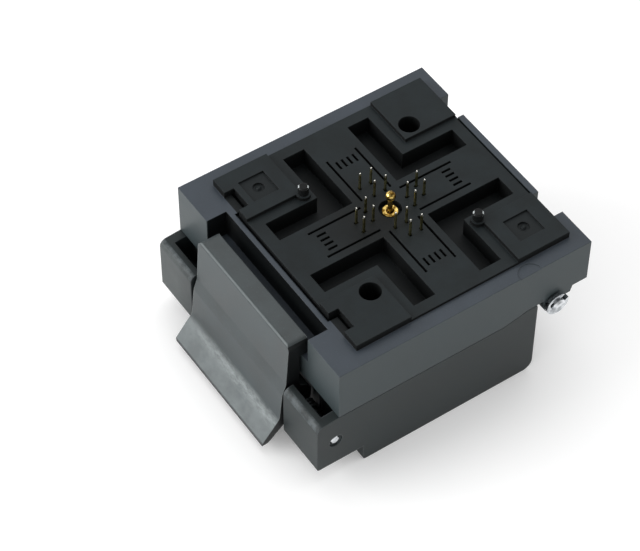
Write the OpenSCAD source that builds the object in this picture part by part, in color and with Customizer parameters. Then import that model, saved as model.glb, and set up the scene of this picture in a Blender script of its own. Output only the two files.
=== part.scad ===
// Clamshell zero-insertion-force socket for a small square leadless chip.
// It lies on its lid with the board side up. X runs across the socket, Y from the latch to the hinge.
// Heights are measured from the surface that the lid lies on.

/* [Base housing] */
// Width of the base and the lid
base_w = 28; // [26:0.5:34]
// Length of the base
base_l = 29.3; // [28:0.1:36]
// Height of the base's outer walls
base_h = 6.2; // [6:0.1:8]
// Step from the rim up to the raised plateau
plateau_h = 0.3; // [0.1:0.05:0.8]
// Height of the four seating pads above the plateau
pad_h = 0.45; // [0.2:0.05:0.9]
// Width of the low rim along the two sides
rim_w = 1.65; // [1:0.05:2.5]
// Width of the low rim at the hinge edge
hinge_rim_w = 1.45; // [0.8:0.05:2]
// Width of the low rim at the latch edge
latch_rim_w = 3.05; // [2.6:0.05:3.6]
// Distance of the contact array's middle from the base's middle, towards the hinge
array_y = 0.85; // [0:0.05:1.2]
// Distance of a seating pad's inner faces from the array's middle
pad_inner = 6.25; // [5.6:0.05:6.4]
// Distance of a core pocket's outer faces from the array's middle
pocket_outer = 2.6; // [2.3:0.05:2.9]
// Width of a core pocket's two legs
pocket_w = 2.5; // [1.6:0.1:3]
// Reach of a core pocket's legs from the array's middle
pocket_reach = 11.1; // [9:0.1:11.3]
// Depth of the core pockets below the plateau
pocket_depth = 2.1; // [1:0.1:2.4]

/* [Board fixing] */
// Distance of the screw holes from the array's middle, along X and along Y
screw_offset = 7.7; // [7.5:0.05:8.6]
// Diameter of the screw holes
screw_d = 2.2; // [1.6:0.1:2.6]
// Diameter of the screw head counterbores
screw_head_d = 4.2; // [3:0.1:4.4]
// Depth of the screw head counterbores
screw_head_depth = 2.2; // [1:0.1:3]
// Distance of the locating pegs from the array's middle, along X and along Y
peg_offset = 6.06; // [5.8:0.02:6.3]
// Diameter of the two locating pegs
peg_d = 1.1; // [0.8:0.05:1.6]
// Height of the locating pegs above the seating pads
peg_h = 1.0; // [0.8:0.1:2]

/* [Contacts] */
// Contact pitch
pitch = 0.65; // [0.5:0.05:0.7]
// Number of contacts on each side of the chip
per_side = 4; // [2:1:4]
// Distance of the inner row of solder tails from the array's middle
inner_row = 2.24; // [2.2:0.02:2.6]
// Distance of the outer row of solder tails from the array's middle
outer_row = 3.78; // [3.4:0.02:4.4]
// Length of the solder tails above the plateau
tail_l = 2.2; // [1.5:0.1:4]
// Width of a solder tail
tail_w = 0.22; // [0.16:0.02:0.4]
// Thickness of the contact strip
strip_t = 0.16; // [0.12:0.02:0.26]
// Play of a contact in its slot, on each side
slot_play = 0.05; // [0.02:0.01:0.08]

/* [Ground probe] */
// Diameter of the probe's sleeve
sleeve_d = 1.0; // [0.8:0.05:1.2]
// Diameter of the sleeve's flange
flange_d = 1.55; // [1.3:0.05:1.9]
// Diameter of both plungers
plunger_d = 0.5; // [0.36:0.02:0.6]
// Diameter of the board plunger's round head
ball_d = 1.04; // [0.7:0.02:1.2]
// Height of the round head's middle above the plateau
ball_h = 1.85; // [1.85:0.05:3]
// Travel of the board plunger
board_travel = 1.0; // [0.4:0.1:1.0]
// Travel of the chip plunger
chip_travel = 0.4; // [0.1:0.05:0.4]

/* [Floating nest] */
// Side of the square nest plate
nest_w = 11.6; // [11:0.1:11.8]
// Thickness of the nest plate
nest_t = 1.65; // [1.3:0.05:1.8]
// Side of the chip pocket
chip_w = 4.1; // [3.6:0.05:4.6]
// Depth of the chip pocket
chip_depth = 0.95; // [0.7:0.05:1]
// Travel of the nest
nest_travel = 0.4; // [0.1:0.05:0.5]
// Play around the nest plate
nest_play = 0.15; // [0.08:0.01:0.25]

/* [Lid] */
// Height of the lid up to the parting face
lid_h = 9.0; // [8.6:0.1:11]
// Gap between the closed lid and the base
parting_gap = 0.1; // [0.05:0.01:0.2]
// Distance of the lid's end wall from the hinge axis
lid_end = 2.1; // [2.05:0.05:2.4]
// Reach of the two arms past the base's latch edge
arm_reach = 2.45; // [2.2:0.05:3]
// Height of the arms' underside above the lid's face
arm_step = 2.2; // [1:0.1:2.8]
// Distance of the raised lid face's latch end from the base's latch edge
face_inset = 2.95; // [2:0.05:4]
// Side of the square pressure pad
pad_w = 10.4; // [10:0.1:10.8]
// Side of the pressure pad's nose
nose_w = 3.5; // [2.4:0.1:3.6]
// Travel of the pressure pad
press_travel = 0.6; // [0.2:0.05:0.8]

/* [Latch] */
// Width of the latch lever
latch_w = 15.8; // [12:0.1:16.4]
// Thickness of the hook at its end
hook_t = 2.2; // [2:0.05:2.6]
// How far the hook reaches over the base's catch
hook_bite = 0.65; // [0.4:0.05:0.9]
// Depth of the hook's end below the rim
hook_drop = 1.0; // [0.4:0.1:1.4]
// Depth of the latch slot below the rim
slot_depth = 3.3; // [2.6:0.1:4]
// Reach of the thumb tab past the base's latch edge
tab_reach = 4.7; // [4:0.05:6]
// Diameter of the latch pin
latch_pin_d = 1.2; // [0.8:0.05:1.4]

/* [Hinge] */
// Distance of the hinge axis from the base's hinge edge
hinge_inset = 3.85; // [3.6:0.05:4.4]
// Depth of the hinge axis below the parting face
hinge_drop = 0.1; // [0:0.05:0.4]
// Diameter of the hinge pin
hinge_pin_d = 1.5; // [1.2:0.05:1.7]
// Radius of the lid's knuckles and the base's lugs
knuckle_r = 1.35; // [1.2:0.05:1.5]
// Outer diameter of the retaining rings
ring_d = 2.6; // [2.3:0.1:3.6]

/* [Hidden] */
$fn = 48;
eps = 0.02;

// Heights of the main faces
base_z = lid_h + parting_gap;
rim_z = base_z + base_h;
plateau_z = rim_z + plateau_h;
seat_z = plateau_z + pad_h;

// Main edges, seen from the base's middle
latch_edge = -base_l / 2;
hinge_edge = base_l / 2;
tab_y = latch_edge - tab_reach;
// The part's origin is the middle of its outline on the floor
origin_y = -(tab_y + hinge_edge) / 2;

// Base details
latch_slot_w = 17.5;
latch_slot_l = 2.25;
notch_w = 18.8;
notch_l = 1.15;
heel_h = 5.4;
heel_l = 1.75;
key_w = 2.6;
key_l = 1.1;
key_x = 9;
peg_root = 0.2;
mark_w = 2.9;
mark_offset = 9.2;
mark_depth = 0.2;
mark_pip_r = 0.6;
ejector_r = 1.3;
ejector_y = 7.4;
ejector_depth = 0.08;
edge_gap_w = 0.3;
edge_gap_depth = 0.5;
groove_w = 0.25;
groove_depth = 0.5;
groove_in = 2.3;
groove_out = 8.45;
groove_y = 1.69;
edge_strip_w = 12.4;
edge_strip_l = 0.65;
edge_strip_h = 0.2;

// Contact details, as radii from the array's middle and heights
anchor_in = 6.95;
anchor_out = 7.8;
slot_in = 1.5;
slot_out = anchor_out + 0.15;
slot_top = rim_z - 0.8;
beam_z = slot_top - 0.8;
beam_h = 0.6;
bend_r = 1.15;
strip_w = 0.5;
tip_in = 1.6;
tip_w = 0.4;
tip_proud = 0.2;
recess_r = 1.15;
recess_depth = 0.7;
anchor_depth = 1.1;

// Nest heights: the recess in the base, and the nest hanging on its screws in it
nest_gap = 0.25;
nest_z = base_z + nest_gap;
nest_top = nest_z + nest_t;
nest_recess_top = nest_top + nest_travel + 0.1;
chip_z = nest_z + chip_depth;
chip_lead = 0.75;
nest_spring_at = 4.6;
nest_spring_r = 0.45;
nest_wire_r = 0.11;
nest_pocket_r = 0.75;
nest_pocket_depth = 0.6;
base_pocket_depth = 1.4;
nest_screw_at = [4.6, 2.45];
nest_screw_r = 0.6;
nest_screw_head_r = 0.95;
nest_screw_head_h = 0.55;
running = 0.05;

// Probe heights
flange_h = 0.4;
sleeve_top = plateau_z - recess_depth + flange_h;
cup_r = 0.42;
cup_depth = 0.8;
sleeve_bottom = nest_top + 0.15;
sleeve_lip = 0.25;
collar_r = 0.33;
sleeve_bore_r = 0.36;
collar_h = 0.4;
chip_proud = 0.15;

// Pressure pad and its screws
pad_z = 5.6;
pad_top = lid_h - 0.3;
nose_top = chip_z - 0.6;
pad_recess_z = pad_z - press_travel - 0.6;
pad_play = 0.1;
pad_screw_x = 3.2;
pad_screw_r = 0.7;
pad_head_r = 1.3;
pad_head_h = 0.9;
pad_head_seat = 1.95;
pad_spring_r = 1.1;
pad_wire_r = 0.2;
pad_pocket_r = 1.45;
pad_pocket_depth = 0.8;

// Latch heights and pivot
arm_y = latch_edge - arm_reach;
arm_top = lid_h - 0.2;
pivot_y = latch_edge - 0.3;
pivot_z = lid_h - 3.45;
boss_r = 1.25;
latch_bay_w = latch_w + 0.7;
bay_wall_y = pivot_y + boss_r + 0.4;
hook_top = rim_z - hook_drop;
hook_in = latch_edge + hook_bite;
catch_z = rim_z - slot_depth;
hook_under = catch_z + 0.2;
spring_bay_w = 4.7;
spring_bay_wall = 1.12;
latch_spring_r = 0.95;
latch_spring_w = 1.3;
latch_wire_r = 0.15;
latch_leg_l = 2.4;
latch_pin_end = 0.15;

// Hinge layout along X
hinge_y = hinge_edge - hinge_inset;
hinge_z = lid_h - hinge_drop;
lug_in = notch_w / 2 + 0.15;
knuckle_out = notch_w / 2 - 0.05;
knuckle_w = 2.95;
knuckle_in = knuckle_out - knuckle_w;
spring_bay_r = 2.0;
knuckle_relief = 0.25;
shoulder_h = 0.65;
shoulder_in = knuckle_r + 1.9;
shoulder_l = 3;
hinge_spring_r = 1.2;
hinge_wire_r = 0.22;
hinge_spring_in = 2.4;
hinge_spring_gap = 0.4;
hinge_spring_out = knuckle_in - hinge_spring_gap;
hinge_spring_turns = 5.5;
lid_back = hinge_y - lid_end;
hinge_leg_l = 2.6;
leg_slot_w = 0.7;
leg_z = hinge_spring_r + hinge_wire_r + 0.03;
lid_rest_y = hinge_y - hinge_spring_r - hinge_wire_r - 0.05;
ring_t = 0.4;
ring_gap = 0.12;
ring_groove_r = 0.55;
pin_end = 0.4;

// Outline corners given as [y, z, radius], with an arc put in at each radius
function unit(v) = v / norm(v);
function corner(a, p, b, r, n = 6) = r <= 0 ? [p] :
    let (u = unit(a - p), v = unit(b - p), half = acos(u * v) / 2,
         c = p + unit(u + v) * r / sin(half), s = p + u * r / tan(half) - c, e = p + v * r / tan(half) - c)
    [for (i = [0:n]) c + r * unit(s * (1 - i / n) + e * i / n)];
function flat(p) = [p[0], p[1]];
function rounded(pts) = let (n = len(pts))
    [for (i = [0:n - 1]) each corner(flat(pts[(i + n - 1) % n]), flat(pts[i]), flat(pts[(i + 1) % n]), pts[i][2])];

// A round wire swept along a path, with its frame held by the coil's axis
function ring_at(p, t, axis, r, sides) = let (n = unit(cross(axis, t)), b = cross(unit(t), n))
    [for (k = [0:sides - 1]) p + r * (cos(360 * k / sides) * n + sin(360 * k / sides) * b)];
module wire(path, axis, r, sides = 6) {
    n = len(path);
    tangents = [for (i = [0:n - 1]) path[min(i + 1, n - 1)] - path[max(i - 1, 0)]];
    points = [for (i = [0:n - 1]) each ring_at(path[i], tangents[i], axis, r, sides)];
    skin = [for (i = [0:n - 2], k = [0:sides - 1]) let (a = i * sides, q = (k + 1) % sides)
        each [[a + k, a + q, a + sides + q], [a + k, a + sides + q, a + sides + k]]];
    caps = [[for (k = [sides - 1:-1:0]) k], [for (k = [0:sides - 1]) (n - 1) * sides + k]];
    polyhedron(points, concat(skin, caps));
}
// A compression spring between two heights
function coil(r, wire_r, bottom, top, turns, steps = 12) = [for (i = [0:turns * steps])
    let (t = i / (turns * steps), a = 360 * t * turns, run = top - bottom - 2 * wire_r)
    [r * cos(a), r * sin(a), bottom + wire_r + run * t]];
module compression_spring(r, wire_r, bottom, top, turns)
    wire(coil(r, wire_r, bottom, top, turns), [0, 0, 1], wire_r);

module place() translate([0, origin_y, 0]) children();
module at_array() translate([0, array_y, 0]) children();
module along_x(w) rotate([90, 0, 90]) linear_extrude(w, center = true) children();
module x_span(from, to) translate([(from + to) / 2, 0, 0]) along_x(to - from) children();
module x_rod(from, to, y, z, r) translate([from, y, z]) rotate([0, 90, 0]) cylinder(r = r, h = to - from);
module z_rod(x, y, from, to, r) translate([x, y, from]) cylinder(r = r, h = to - from);
module box(x0, x1, y0, y1, z0, z1) translate([x0, y0, z0]) cube([x1 - x0, y1 - y0, z1 - z0]);
module both_sides() for (s = [0, 1]) mirror([s, 0, 0]) children();
module half_turns() for (a = [0, 180]) rotate(a) children();
module quarter_turns() for (a = [0:90:270]) rotate(a) children();
// A frustum with square ends, made as the crossing of two wedges
module square_taper(w0, w1, z0, z1) intersection_for (a = [0, 90]) rotate(a)
    along_x(max(w0, w1) + 1) polygon([[-w0 / 2, z0], [w0 / 2, z0], [w1 / 2, z1], [-w1 / 2, z1]]);

// Raised middle of the base, cut back round two keys at the latch edge
module plateau_outline() difference() {
    translate([-base_w / 2 + rim_w, latch_edge + latch_rim_w])
        square([base_w - 2 * rim_w, base_l - latch_rim_w - hinge_rim_w]);
    both_sides() translate([key_x - key_w / 2, latch_edge + latch_rim_w - eps]) square([key_w, key_l + eps]);
}

module edge_gap_outline() {
    y = latch_edge + latch_rim_w;
    inner = key_x - key_w / 2;
    translate([-inner - edge_gap_w, y - edge_gap_w]) square([2 * (inner + edge_gap_w), edge_gap_w]);
    both_sides() {
        translate([inner, y - edge_gap_w]) square([edge_gap_w, edge_gap_w + key_l]);
        translate([inner, y + key_l - edge_gap_w]) square([key_w, edge_gap_w]);
    }
}

module contact_places() for (i = [0:per_side - 1]) {
    offset_y = (i - (per_side - 1) / 2) * pitch;
    row = i % 2 == 0 ? outer_row : inner_row;
    translate([0, offset_y, 0]) contact_side(row) children();
}
module contact_side(row) { $row = row; mirror([1, 0, 0]) children(); }

// What one contact cuts into the base: its slot, its tail hole and its anchor slot
module contact_cut() {
    w = strip_t + 2 * slot_play;
    box(slot_in, slot_out, -w / 2, w / 2, base_z - 1, slot_top);
    box($row - tail_w / 2 - 0.1, $row + tail_w / 2 + 0.1, -w / 2, w / 2, slot_top - eps, seat_z);
    box(anchor_in - 0.1, anchor_out + 0.1, -w / 2, w / 2, slot_top - eps, seat_z);
}

module core_pocket() translate([0, 0, plateau_z - pocket_depth]) linear_extrude(pocket_depth + pad_h + 1) {
    translate([pocket_outer, pocket_outer]) square([pocket_w, pocket_reach - pocket_outer]);
    translate([pocket_outer, pocket_outer]) square([pocket_reach - pocket_outer, pocket_w]);
}

module base_solid() {
    along_x(base_w) polygon([[latch_edge, base_z], [latch_edge, rim_z], [hinge_edge, rim_z],
        [hinge_edge, rim_z - heel_h], [hinge_edge - heel_l, rim_z - heel_h],
        [hinge_edge - heel_l - 0.25, base_z]]);
    both_sides() x_rod(lug_in, base_w / 2, hinge_y, hinge_z, knuckle_r);
    translate([0, 0, rim_z - eps]) linear_extrude(plateau_h + eps) plateau_outline();
    // Seating pads: the plateau's four corners, raised
    translate([0, 0, plateau_z - eps]) linear_extrude(pad_h + eps) intersection() {
        plateau_outline();
        translate([0, array_y]) quarter_turns() translate([pad_inner, pad_inner]) square(base_l);
    }
    at_array() half_turns() translate([peg_offset, peg_offset, plateau_z - eps]) {
        cylinder(r = peg_d / 2 + peg_root, h = pad_h + eps);
        cylinder(d = peg_d, h = pad_h + peg_h - 0.15 + eps);
        translate([0, 0, pad_h + peg_h - 0.15]) cylinder(d1 = peg_d, d2 = peg_d - 0.3, h = 0.15);
    }
}

module base_cuts() {
    // Latch slot and hinge notch
    box(-latch_slot_w / 2, latch_slot_w / 2, latch_edge - 1, latch_edge + latch_slot_l, catch_z, rim_z + 1);
    box(-notch_w / 2, notch_w / 2, hinge_edge - notch_l, hinge_edge + 1, base_z - 3, rim_z + 1);
    // Room for the lid's knuckles, its shoulders and the hinge springs
    both_sides() {
        x_rod(knuckle_in - 0.2, lug_in, hinge_y, hinge_z, knuckle_r + knuckle_relief);
        x_rod(lug_in - eps, base_w / 2 + 1, hinge_y, hinge_z, hinge_pin_d / 2 + running);
        x_span(lug_in, base_w / 2 + 1) polygon([[hinge_y - shoulder_in - shoulder_l, base_z - eps],
            [hinge_y - shoulder_in, base_z + shoulder_h], [hinge_y - knuckle_r, base_z + shoulder_h],
            [hinge_y - knuckle_r, base_z - eps]]);
        box(hinge_spring_out - leg_slot_w / 2, hinge_spring_out + leg_slot_w / 2, hinge_y - hinge_leg_l - 0.3, hinge_y,
            base_z - 1, hinge_z + leg_z);
    }
    x_rod(-knuckle_in - 0.1, knuckle_in + 0.1, hinge_y, hinge_z, spring_bay_r);
    // Narrow grooves along the strip at the hinge edge, and round the plateau's latch edge and its keys
    box(-edge_strip_w / 2, edge_strip_w / 2, hinge_edge - notch_l - edge_gap_w, hinge_edge - notch_l,
        rim_z - edge_gap_depth, seat_z);
    translate([0, 0, rim_z - edge_gap_depth]) linear_extrude(2) edge_gap_outline();
    // Half-round ejector mark on the rim
    z_rod(base_w / 2, ejector_y, rim_z - ejector_depth, rim_z + 1, ejector_r);
    at_array() {
        quarter_turns() {
            core_pocket();
            contact_places() contact_cut();
            for (s = [-1, 1])
                box(-groove_out, -groove_in, s * groove_y - groove_w / 2, s * groove_y + groove_w / 2,
                    plateau_z - groove_depth, seat_z);
        }
        // Board screw holes, with room for the heads on the chip side
        for (a = [90, 270]) rotate(a) {
            z_rod(screw_offset, screw_offset, base_z - 1, seat_z + 1, screw_d / 2);
            z_rod(screw_offset, screw_offset, base_z - 1, base_z + screw_head_depth, screw_head_d / 2);
        }
        // Shallow square marks with a round dimple, on the two pads with pegs
        half_turns() translate([mark_offset, mark_offset, seat_z - mark_depth]) {
            translate([-mark_w / 2, -mark_w / 2, 0]) cube([mark_w, mark_w, 1]);
            translate([0, 0, -0.2]) difference() {
                cylinder(r = mark_pip_r, h = 1);
                cylinder(r1 = 0.3, r2 = 0.1, h = 0.25);
            }
        }
        // Probe hole and its round recess
        z_rod(0, 0, base_z, seat_z, sleeve_d / 2);
        z_rod(0, 0, plateau_z - recess_depth, seat_z, recess_r);
        // Recess of the floating nest, its spring pockets and its screw holes
        translate([0, 0, base_z - 1]) linear_extrude(nest_recess_top - base_z + 1)
            square(nest_w + 2 * nest_play, center = true);
        quarter_turns() z_rod(nest_spring_at, nest_spring_at, base_z, nest_recess_top + base_pocket_depth,
            nest_pocket_r);
        half_turns() z_rod(nest_screw_at[0], nest_screw_at[1], base_z, nest_recess_top + 1.7, nest_screw_r);
    }
}

module base_housing() color("#25282a") place() {
    difference() { base_solid(); base_cuts(); }
    // Strip along the hinge edge, between the two corner blocks
    box(-edge_strip_w / 2, edge_strip_w / 2, hinge_edge - notch_l - eps, hinge_edge - notch_l + edge_strip_l,
        rim_z - 3, rim_z + edge_strip_h);
}

// One stamped contact: solder tail, beam with anchor, C-shaped spring and rounded tip
module contact_outline(row) {
    beam_in = row - 0.25;
    bend_x = anchor_out - bend_r;
    bend_z = beam_z + beam_h - bend_r;
    low = bend_z - bend_r;
    tip_end = chip_z - tip_proud;
    translate([beam_in, beam_z]) square([anchor_out - beam_in, beam_h]);
    translate([anchor_in, beam_z]) square([anchor_out - anchor_in, plateau_z - anchor_depth - beam_z]);
    polygon([[row - tail_w / 2, beam_z], [row - tail_w / 2, plateau_z + tail_l - 0.3],
        [row - tail_w / 5, plateau_z + tail_l], [row + tail_w / 5, plateau_z + tail_l],
        [row + tail_w / 2, plateau_z + tail_l - 0.3], [row + tail_w / 2, beam_z]]);
    intersection() {
        difference() {
            translate([bend_x, bend_z]) circle(r = bend_r);
            translate([bend_x, bend_z]) circle(r = bend_r - strip_w);
        }
        translate([bend_x, bend_z - 2 * bend_r]) square(4 * bend_r);
    }
    polygon([[bend_x, low], [bend_x, low + strip_w], [tip_in + tip_w, low + 0.8 * strip_w], [tip_in, low + strip_w / 2],
        [tip_in, tip_end + tip_w / 2], [tip_in + tip_w, tip_end + tip_w / 2], [tip_in + tip_w, low]]);
    translate([tip_in + tip_w / 2, tip_end + tip_w / 2]) circle(r = tip_w / 2);
}
module contact_group(turn) color("#d9b25a") place() at_array() rotate(turn) contact_places()
    rotate([90, 0, 0]) linear_extrude(strip_t, center = true) contact_outline($row);
module contacts_left() contact_group(0);
module contacts_latch_side() contact_group(90);
module contacts_right() contact_group(180);
module contacts_hinge_side() contact_group(270);

module probe_barrel() color("#d9b25a") place() at_array() difference() {
    union() {
        z_rod(0, 0, sleeve_bottom, sleeve_top, sleeve_d / 2);
        z_rod(0, 0, sleeve_top - flange_h, sleeve_top, flange_d / 2);
    }
    z_rod(0, 0, sleeve_bottom - 1, sleeve_top + 1, plunger_d / 2 + running / 2);
    z_rod(0, 0, sleeve_bottom + sleeve_lip, sleeve_top - cup_depth - sleeve_lip, sleeve_bore_r);
    z_rod(0, 0, sleeve_top - cup_depth, sleeve_top + 1, cup_r);
}
board_collar_top = sleeve_top - cup_depth - sleeve_lip - 0.02;
module probe_board_plunger() color("#e0bb62") place() at_array() {
    z_rod(0, 0, board_collar_top - collar_h, board_collar_top, collar_r);
    z_rod(0, 0, board_collar_top - eps, plateau_z + ball_h, plunger_d / 2);
    translate([0, 0, plateau_z + ball_h]) rotate_extrude() intersection() {
        circle(d = ball_d);
        translate([0, -ball_d]) square(2 * ball_d);
    }
}
chip_collar_z = sleeve_bottom + sleeve_lip + 0.02;
module probe_chip_plunger() color("#e0bb62") place() at_array() {
    z_rod(0, 0, chip_collar_z, chip_collar_z + collar_h / 2, collar_r);
    z_rod(0, 0, chip_z - chip_proud, chip_collar_z + eps, plunger_d / 2);
}
module probe_spring() color("#b9bcc0") place() at_array() compression_spring(collar_r - 0.09, 0.07,
    chip_collar_z + collar_h / 2, board_collar_top - collar_h, 4);

module floating_nest() color("#2b2e30") place() at_array() difference() {
    translate([0, 0, nest_z]) linear_extrude(nest_t) square(nest_w, center = true);
    translate([0, 0, nest_z - 1]) linear_extrude(chip_depth + 1) square(chip_w, center = true);
    square_taper(chip_w + 2 * chip_lead + 0.4, chip_w, nest_z - 0.2, nest_z + 0.5);
    quarter_turns() contact_places()
        box(tip_in - 0.15, tip_in + tip_w + 0.5, -strip_t / 2 - 0.1, strip_t / 2 + 0.1, nest_z, nest_top + 1);
    z_rod(0, 0, nest_z, nest_top + 1, sleeve_d / 2 + 0.15);
    quarter_turns() z_rod(nest_spring_at, nest_spring_at, nest_top - nest_pocket_depth, nest_top + 1, nest_pocket_r);
    half_turns() translate([nest_screw_at[0], nest_screw_at[1], 0]) {
        z_rod(0, 0, nest_z - 1, nest_top + 1, nest_screw_r + running);
        z_rod(0, 0, nest_z - 1, nest_z + nest_screw_head_h + 0.15, nest_screw_head_r + 0.1);
    }
}
module nest_springs() color("#b9bcc0") place() at_array() quarter_turns()
    translate([nest_spring_at, nest_spring_at, 0]) compression_spring(nest_spring_r, nest_wire_r,
        nest_top - nest_pocket_depth + 0.02, nest_recess_top + base_pocket_depth - 0.02, 5);
module nest_screws() color("#a9adb2") place() at_array() half_turns() {
    head_top = nest_z + nest_screw_head_h + 0.1;
    difference() {
        z_rod(nest_screw_at[0], nest_screw_at[1], head_top - nest_screw_head_h, head_top, nest_screw_head_r);
        box(nest_screw_at[0] - 1, nest_screw_at[0] + 1, nest_screw_at[1] - 0.12, nest_screw_at[1] + 0.12,
            head_top - nest_screw_head_h - 1, head_top - nest_screw_head_h + 0.25);
    }
    z_rod(nest_screw_at[0], nest_screw_at[1], head_top - eps, nest_recess_top + 1.6, nest_screw_r);
}

// Side outline of the lid, with the arms' rounded front edge and the shoulders at the hinge
module lid_side() polygon(rounded([[latch_edge + face_inset, 0, 0.3], [lid_back, 0, 1.1],
    [lid_back, lid_h + shoulder_h, 0.2], [hinge_y - shoulder_in, lid_h + shoulder_h, 0.6],
    [hinge_y - shoulder_in - shoulder_l, lid_h, 0], [latch_edge, lid_h, 0], [arm_y, arm_top, 0.8],
    [arm_y, arm_step, 0.3], [latch_edge + face_inset, arm_step, 0]]));

module lid_frame() color("#25282a") place() difference() {
    union() {
        along_x(base_w) lid_side();
        // Knuckles, each on a gusset from the lid's end wall
        both_sides() {
            x_rod(knuckle_in, knuckle_out, hinge_y, hinge_z, knuckle_r);
            x_span(knuckle_in, knuckle_out) polygon([[lid_back - eps, hinge_z + 0.05], [hinge_y, hinge_z + 0.05],
                [hinge_y, hinge_z - knuckle_r], [hinge_y - 0.6, hinge_z - knuckle_r], [lid_back - eps, hinge_z - 4]]);
        }
        // Rest for the hinge springs' lower legs
        box(-knuckle_in, knuckle_in, lid_back - eps, lid_rest_y, arm_step, hinge_z - leg_z);
    }
    // Bay of the latch between the arms
    box(-latch_bay_w / 2, latch_bay_w / 2, arm_y - 1, bay_wall_y, -1, lid_h + 1);
    // Flat parting face between the shoulders
    box(-lug_in, lug_in, -base_l, hinge_edge, lid_h, lid_h + 3);
    both_sides() {
        // Hollow of an arm, which holds the latch spring
        box(latch_bay_w / 2 - eps, latch_bay_w / 2 + spring_bay_w, arm_y + spring_bay_wall,
            pivot_y + latch_spring_r + latch_wire_r + 0.15, pivot_z - 1.4, lid_h + 1);
        x_rod(latch_bay_w / 2 - 1, base_w / 2 + 1, pivot_y, pivot_z, latch_pin_d / 2 + 0.01);
        x_rod(base_w / 2 - latch_pin_end - 0.15, base_w / 2 + 1, pivot_y, pivot_z, latch_pin_d / 2 + 0.15);
        x_rod(knuckle_in - 1, knuckle_out + 1, hinge_y, hinge_z, hinge_pin_d / 2 + 0.01);
        box(hinge_spring_in - leg_slot_w / 2, hinge_spring_in + leg_slot_w / 2, hinge_y - hinge_leg_l - 0.3, lid_back + 1,
            hinge_z - leg_z, lid_h + 1);
        translate([0, array_y, 0]) {
            z_rod(pad_screw_x, 0, -1, pad_recess_z + 1, pad_screw_r + running);
            z_rod(pad_screw_x, 0, -1, pad_head_seat, pad_head_r + 0.2);
        }
    }
    // Well of the pressure pad
    translate([0, array_y, pad_recess_z]) linear_extrude(lid_h) square(pad_w + 2 * pad_play, center = true);
}

module pressure_pad() color("#2f3335") place() at_array() difference() {
    union() {
        translate([0, 0, pad_z]) linear_extrude(pad_top - pad_z) square(pad_w, center = true);
        square_taper(nose_w + 1.2, nose_w, pad_top - eps, pad_top + 0.6);
        translate([0, 0, pad_top + 0.5]) linear_extrude(nose_top - pad_top - 0.5) square(nose_w, center = true);
    }
    both_sides() {
        z_rod(pad_screw_x, 0, pad_z - 1, pad_z + 2.4, pad_screw_r);
        z_rod(pad_screw_x, 0, pad_z - 1, pad_z + pad_pocket_depth, pad_pocket_r);
    }
}
module pad_screws() color("#a9adb2") place() at_array() both_sides() {
    difference() {
        z_rod(pad_screw_x, 0, pad_head_seat - 0.05 - pad_head_h, pad_head_seat - 0.05, pad_head_r);
        box(pad_screw_x - 0.16, pad_screw_x + 0.16, -2, 2, pad_head_seat - pad_head_h - 1,
            pad_head_seat - pad_head_h + 0.35);
    }
    z_rod(pad_screw_x, 0, pad_head_seat - 0.05 - eps, pad_z + 2.3, pad_screw_r);
}
module pad_springs() color("#b9bcc0") place() at_array() both_sides() translate([pad_screw_x, 0, 0])
    compression_spring(pad_spring_r, pad_wire_r, pad_recess_z + 0.02, pad_z + pad_pocket_depth - 0.02, 3);

// Side outline of the latch lever: hook, shank, pivot boss and flared thumb tab
tab_tip_z = 0.5;
tab_tip_h = 0.85;
tab_corner_r = 0.8;
module latch_side() difference() {
    polygon(rounded([[hook_in, hook_top, 0.1], [hook_in - hook_t, hook_top, 0.35],
        [latch_edge - 1.9, lid_h - 0.2, 1.2], [latch_edge - 2.35, lid_h - 1.6, 1.2], [latch_edge - 2.7, 3.9, 1.0],
        [tab_y, tab_tip_z + tab_tip_h, 0.2], [tab_y, tab_tip_z, 0.2], [latch_edge - 2.3, 2.7, 0.8],
        [pivot_y - 0.2, pivot_z - boss_r, 0.9], [pivot_y + boss_r, pivot_z - boss_r, 1.2],
        [pivot_y + boss_r, pivot_z + 1.1, 0.6], [latch_edge - 0.35, pivot_z + 2.2, 0.6],
        [latch_edge - 0.35, hook_under, 0.15], [hook_in, hook_under, 0.15]]));
    translate([pivot_y, pivot_z]) circle(d = latch_pin_d + 0.08);
}
module latch_front() polygon(rounded([[-latch_w / 2, hook_top, 0.7], [latch_w / 2, hook_top, 0.7],
    [latch_w / 2, tab_tip_z, tab_corner_r], [-latch_w / 2, tab_tip_z, tab_corner_r]]));
module latch_lever() color("#3a3e40") place() intersection() {
    along_x(latch_w) latch_side();
    rotate([90, 0, 0]) linear_extrude(2 * base_l, center = true) latch_front();
}

module pin_with_chamfers(half, y, z, r, chamfer) both_sides() {
    x_rod(0, half - chamfer, y, z, r);
    translate([half - chamfer, y, z]) rotate([0, 90, 0]) cylinder(r1 = r, r2 = r - chamfer, h = chamfer);
}
module latch_pin() color("#c9ccd0") place() pin_with_chamfers(base_w / 2 - latch_pin_end, pivot_y, pivot_z,
    latch_pin_d / 2, 0.2);

// A torsion spring round a cross pin, with one leg at each end
function torsion(from, to, turns, r, a0, steps = 14) = [for (i = [0:turns * steps])
    let (t = i / (turns * steps), a = a0 + 360 * turns * t) [from + (to - from) * t, r * cos(a), r * sin(a)]];
module latch_spring() {
    from = latch_bay_w / 2 + 0.4;
    to = from + latch_spring_w;
    r = latch_spring_r - latch_wire_r;
    front_leg = [[from, arm_y + spring_bay_wall + latch_wire_r + 0.05 - pivot_y, latch_leg_l]];
    back_leg = [[to, latch_spring_r, latch_leg_l]];
    translate([0, pivot_y, pivot_z])
        wire(concat(front_leg, torsion(from, to, 3.5, r, 180), back_leg), [1, 0, 0], latch_wire_r);
}
module latch_spring_right() color("#c4c8cc") place() latch_spring();
module latch_spring_left() color("#c4c8cc") place() mirror([1, 0, 0]) latch_spring();

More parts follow.
